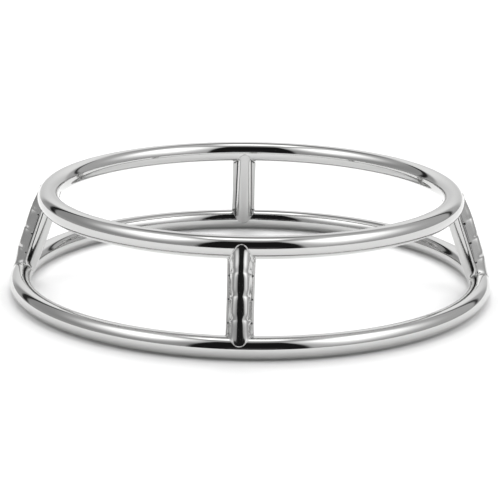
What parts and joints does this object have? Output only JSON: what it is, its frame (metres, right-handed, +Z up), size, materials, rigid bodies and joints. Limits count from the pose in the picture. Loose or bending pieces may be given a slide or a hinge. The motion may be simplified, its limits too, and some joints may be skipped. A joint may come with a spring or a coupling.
{
  "type": "wok ring",
  "caption": "Open stand that holds a round-bottomed pan steady: a narrow tube ring above a wider one, joined by leaning pressed uprights.",
  "frame": {"origin": "on the table, at the centre of the lower ring", "axes": "+Z up from the table to the pan; -Y is the side that faces the viewer, with an upright near it"},
  "size_m": [0.2922, 0.2922, 0.0635],
  "materials": {
    "polished_steel": "mirror polished stainless steel"
  },
  "bodies": {
    "root": {"lower_ring": "polished_steel", "upper_ring": "polished_steel", "upright_front": "polished_steel", "upright_right": "polished_steel", "upright_back": "polished_steel", "upright_left": "polished_steel"}
  },
  "joints": []
}
